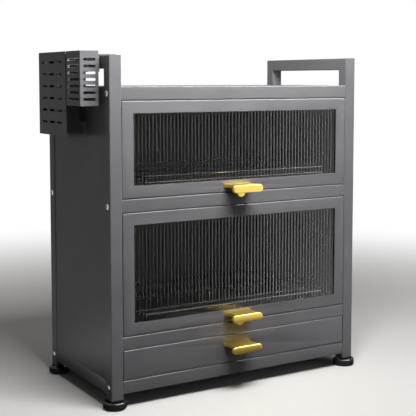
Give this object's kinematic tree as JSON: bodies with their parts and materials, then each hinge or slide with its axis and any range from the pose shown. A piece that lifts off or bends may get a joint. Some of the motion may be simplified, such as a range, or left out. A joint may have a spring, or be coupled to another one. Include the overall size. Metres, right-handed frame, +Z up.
{
  "type": "dish drying rack",
  "caption": "Covered countertop dish rack: square-tube frame, lift-up fluted-glass doors over wire racks, a drawer, an open top shelf with side rails, and hook-on knife and cutlery holders.",
  "frame": {"origin": "on the worktop, at the bottom centre of the whole object's box; the cabinet's own middle lies 19 mm to the right of it and 19 mm behind it", "axes": "+X to the right as seen from the front, +Y to the back, +Z up; the doors and the drawer face -Y"},
  "size_m": [0.762, 0.417, 0.817],
  "materials": {
    "powder_coat": "satin powder coat, dark grey",
    "gold": "satin gold anodised",
    "fluted_pane": "clear, ribbed in front",
    "chrome_wire": "bright chrome",
    "zinc_steel": "bright zinc",
    "grey_plastic": "fine matte, dark grey",
    "black_plastic": "matte black",
    "gloss_black": "glossy black",
    "black_rubber": "matte black"
  },
  "bodies": {
    "cabinet": {"post_front_left": "powder_coat", "post_front_right": "powder_coat", "post_back_left": "powder_coat", "post_back_right": "powder_coat", "side_rail_left": "powder_coat", "side_rail_right": "powder_coat", "base_rail_left": "powder_coat", "base_rail_right": "powder_coat", "side_panel_left": "powder_coat", "side_panel_right": "powder_coat", "top_shelf": "powder_coat", "middle_shelf": "powder_coat", "lower_shelf": "powder_coat", "base_shelf": "powder_coat", "back_panel": "powder_coat", "back_panel_screws": "zinc_steel", "frame_bolts": "zinc_steel", "frame_nuts": "zinc_steel", "hinge_bushes": "black_plastic", "magnet_catches": "black_plastic", "cabinet_runners": "zinc_steel", "foot_plugs": "black_plastic"},
    "upper_door": {"upper_door_frame": "powder_coat", "upper_door_pane": "fluted_pane", "upper_door_inner_frame": "grey_plastic", "upper_hinge_pins": "zinc_steel", "upper_handle": "gold", "upper_handle_screws": "zinc_steel"},
    "lower_door": {"lower_door_frame": "powder_coat", "lower_door_pane": "fluted_pane", "lower_door_inner_frame": "grey_plastic", "lower_hinge_pins": "zinc_steel", "lower_handle": "gold", "lower_handle_screws": "zinc_steel"},
    "drawer": {"drawer_front": "powder_coat", "drawer_box": "powder_coat", "drawer_handle": "gold", "drawer_handle_screws": "zinc_steel", "drawer_runners": "zinc_steel"},
    "upper_tray": {"upper_drip_tray": "grey_plastic"},
    "lower_tray": {"lower_drip_tray": "grey_plastic"},
    "bowl_rack": {"bowl_rack": "chrome_wire", "bowl_rack_legs": "chrome_wire", "bowl_rack_guard": "chrome_wire"},
    "plate_rack": {"plate_rack": "chrome_wire", "plate_rack_legs": "chrome_wire", "plate_dividers": "chrome_wire"},
    "cutlery_basket": {"cutlery_basket": "powder_coat", "cutlery_basket_hooks": "powder_coat"},
    "knife_holder": {"knife_holder": "powder_coat", "knife_insert": "black_plastic", "knife_holder_hooks": "powder_coat"},
    "foot_front_left": {"foot_pad_front_left": "black_rubber"},
    "wheel_front_left": {"foot_wheel_front_left": "gloss_black"},
    "foot_front_right": {"foot_pad_front_right": "black_rubber"},
    "wheel_front_right": {"foot_wheel_front_right": "gloss_black"},
    "foot_back_left": {"foot_pad_back_left": "black_rubber"},
    "wheel_back_left": {"foot_wheel_back_left": "gloss_black"},
    "foot_back_right": {"foot_pad_back_right": "black_rubber"},
    "wheel_back_right": {"foot_wheel_back_right": "gloss_black"}
  },
  "joints": [
    {"name": "upper_door_hinge", "type": "hinge", "parent": "cabinet", "child": "upper_door", "pos_m": [0.019, -0.1515, 0.68891], "axis": [-1, 0, 0], "range_deg": [0, 90]},
    {"name": "lower_door_hinge", "type": "hinge", "parent": "cabinet", "child": "lower_door", "pos_m": [0.019, -0.1515, 0.43441], "axis": [-1, 0, 0], "range_deg": [0, 90]},
    {"name": "drawer_slide", "type": "slide", "parent": "cabinet", "child": "drawer", "axis": [0, -1, 0], "range_m": [0, 0.24]},
    {"name": "upper_tray_lift", "type": "slide", "parent": "cabinet", "child": "upper_tray", "axis": [0, 0, 1], "range_m": [0, 0.05]},
    {"name": "bowl_rack_lift", "type": "slide", "parent": "upper_tray", "child": "bowl_rack", "axis": [0, 0, 1], "range_m": [0, 0.08]},
    {"name": "lower_tray_lift", "type": "slide", "parent": "cabinet", "child": "lower_tray", "axis": [0, 0, 1], "range_m": [0, 0.05]},
    {"name": "plate_rack_lift", "type": "slide", "parent": "lower_tray", "child": "plate_rack", "axis": [0, 0, 1], "range_m": [0, 0.08]},
    {"name": "cutlery_basket_lift", "type": "slide", "parent": "cabinet", "child": "cutlery_basket", "axis": [0, 0, 1], "range_m": [0, 0.06]},
    {"name": "knife_holder_lift", "type": "slide", "parent": "cabinet", "child": "knife_holder", "axis": [0, 0, 1], "range_m": [0, 0.06]},
    {"name": "foot_front_left_travel", "type": "slide", "parent": "cabinet", "child": "foot_front_left", "axis": [0, 0, 1], "range_m": [-0.01, 0]},
    {"name": "foot_front_left_turn", "type": "hinge", "parent": "foot_front_left", "child": "wheel_front_left", "pos_m": [-0.316, -0.1435, 0.01], "axis": [0, 0, 1], "range_deg": [-2880, 0]},
    {"name": "foot_front_right_travel", "type": "slide", "parent": "cabinet", "child": "foot_front_right", "axis": [0, 0, 1], "range_m": [-0.01, 0]},
    {"name": "foot_front_right_turn", "type": "hinge", "parent": "foot_front_right", "child": "wheel_front_right", "pos_m": [0.354, -0.1435, 0.01], "axis": [0, 0, 1], "range_deg": [-2880, 0]},
    {"name": "foot_back_left_travel", "type": "slide", "parent": "cabinet", "child": "foot_back_left", "axis": [0, 0, 1], "range_m": [-0.01, 0]},
    {"name": "foot_back_left_turn", "type": "hinge", "parent": "foot_back_left", "child": "wheel_back_left", "pos_m": [-0.316, 0.1815, 0.01], "axis": [0, 0, 1], "range_deg": [-2880, 0]},
    {"name": "foot_back_right_travel", "type": "slide", "parent": "cabinet", "child": "foot_back_right", "axis": [0, 0, 1], "range_m": [-0.01, 0]},
    {"name": "foot_back_right_turn", "type": "hinge", "parent": "foot_back_right", "child": "wheel_back_right", "pos_m": [0.354, 0.1815, 0.01], "axis": [0, 0, 1], "range_deg": [-2880, 0]}
  ],
  "couplings": [
    {"joint": "foot_front_left_turn", "follows": "foot_front_left_travel", "rad_per_m": 5026.5},
    {"joint": "foot_front_right_turn", "follows": "foot_front_right_travel", "rad_per_m": 5026.5},
    {"joint": "foot_back_left_turn", "follows": "foot_back_left_travel", "rad_per_m": 5026.5},
    {"joint": "foot_back_right_turn", "follows": "foot_back_right_travel", "rad_per_m": 5026.5}
  ]
}
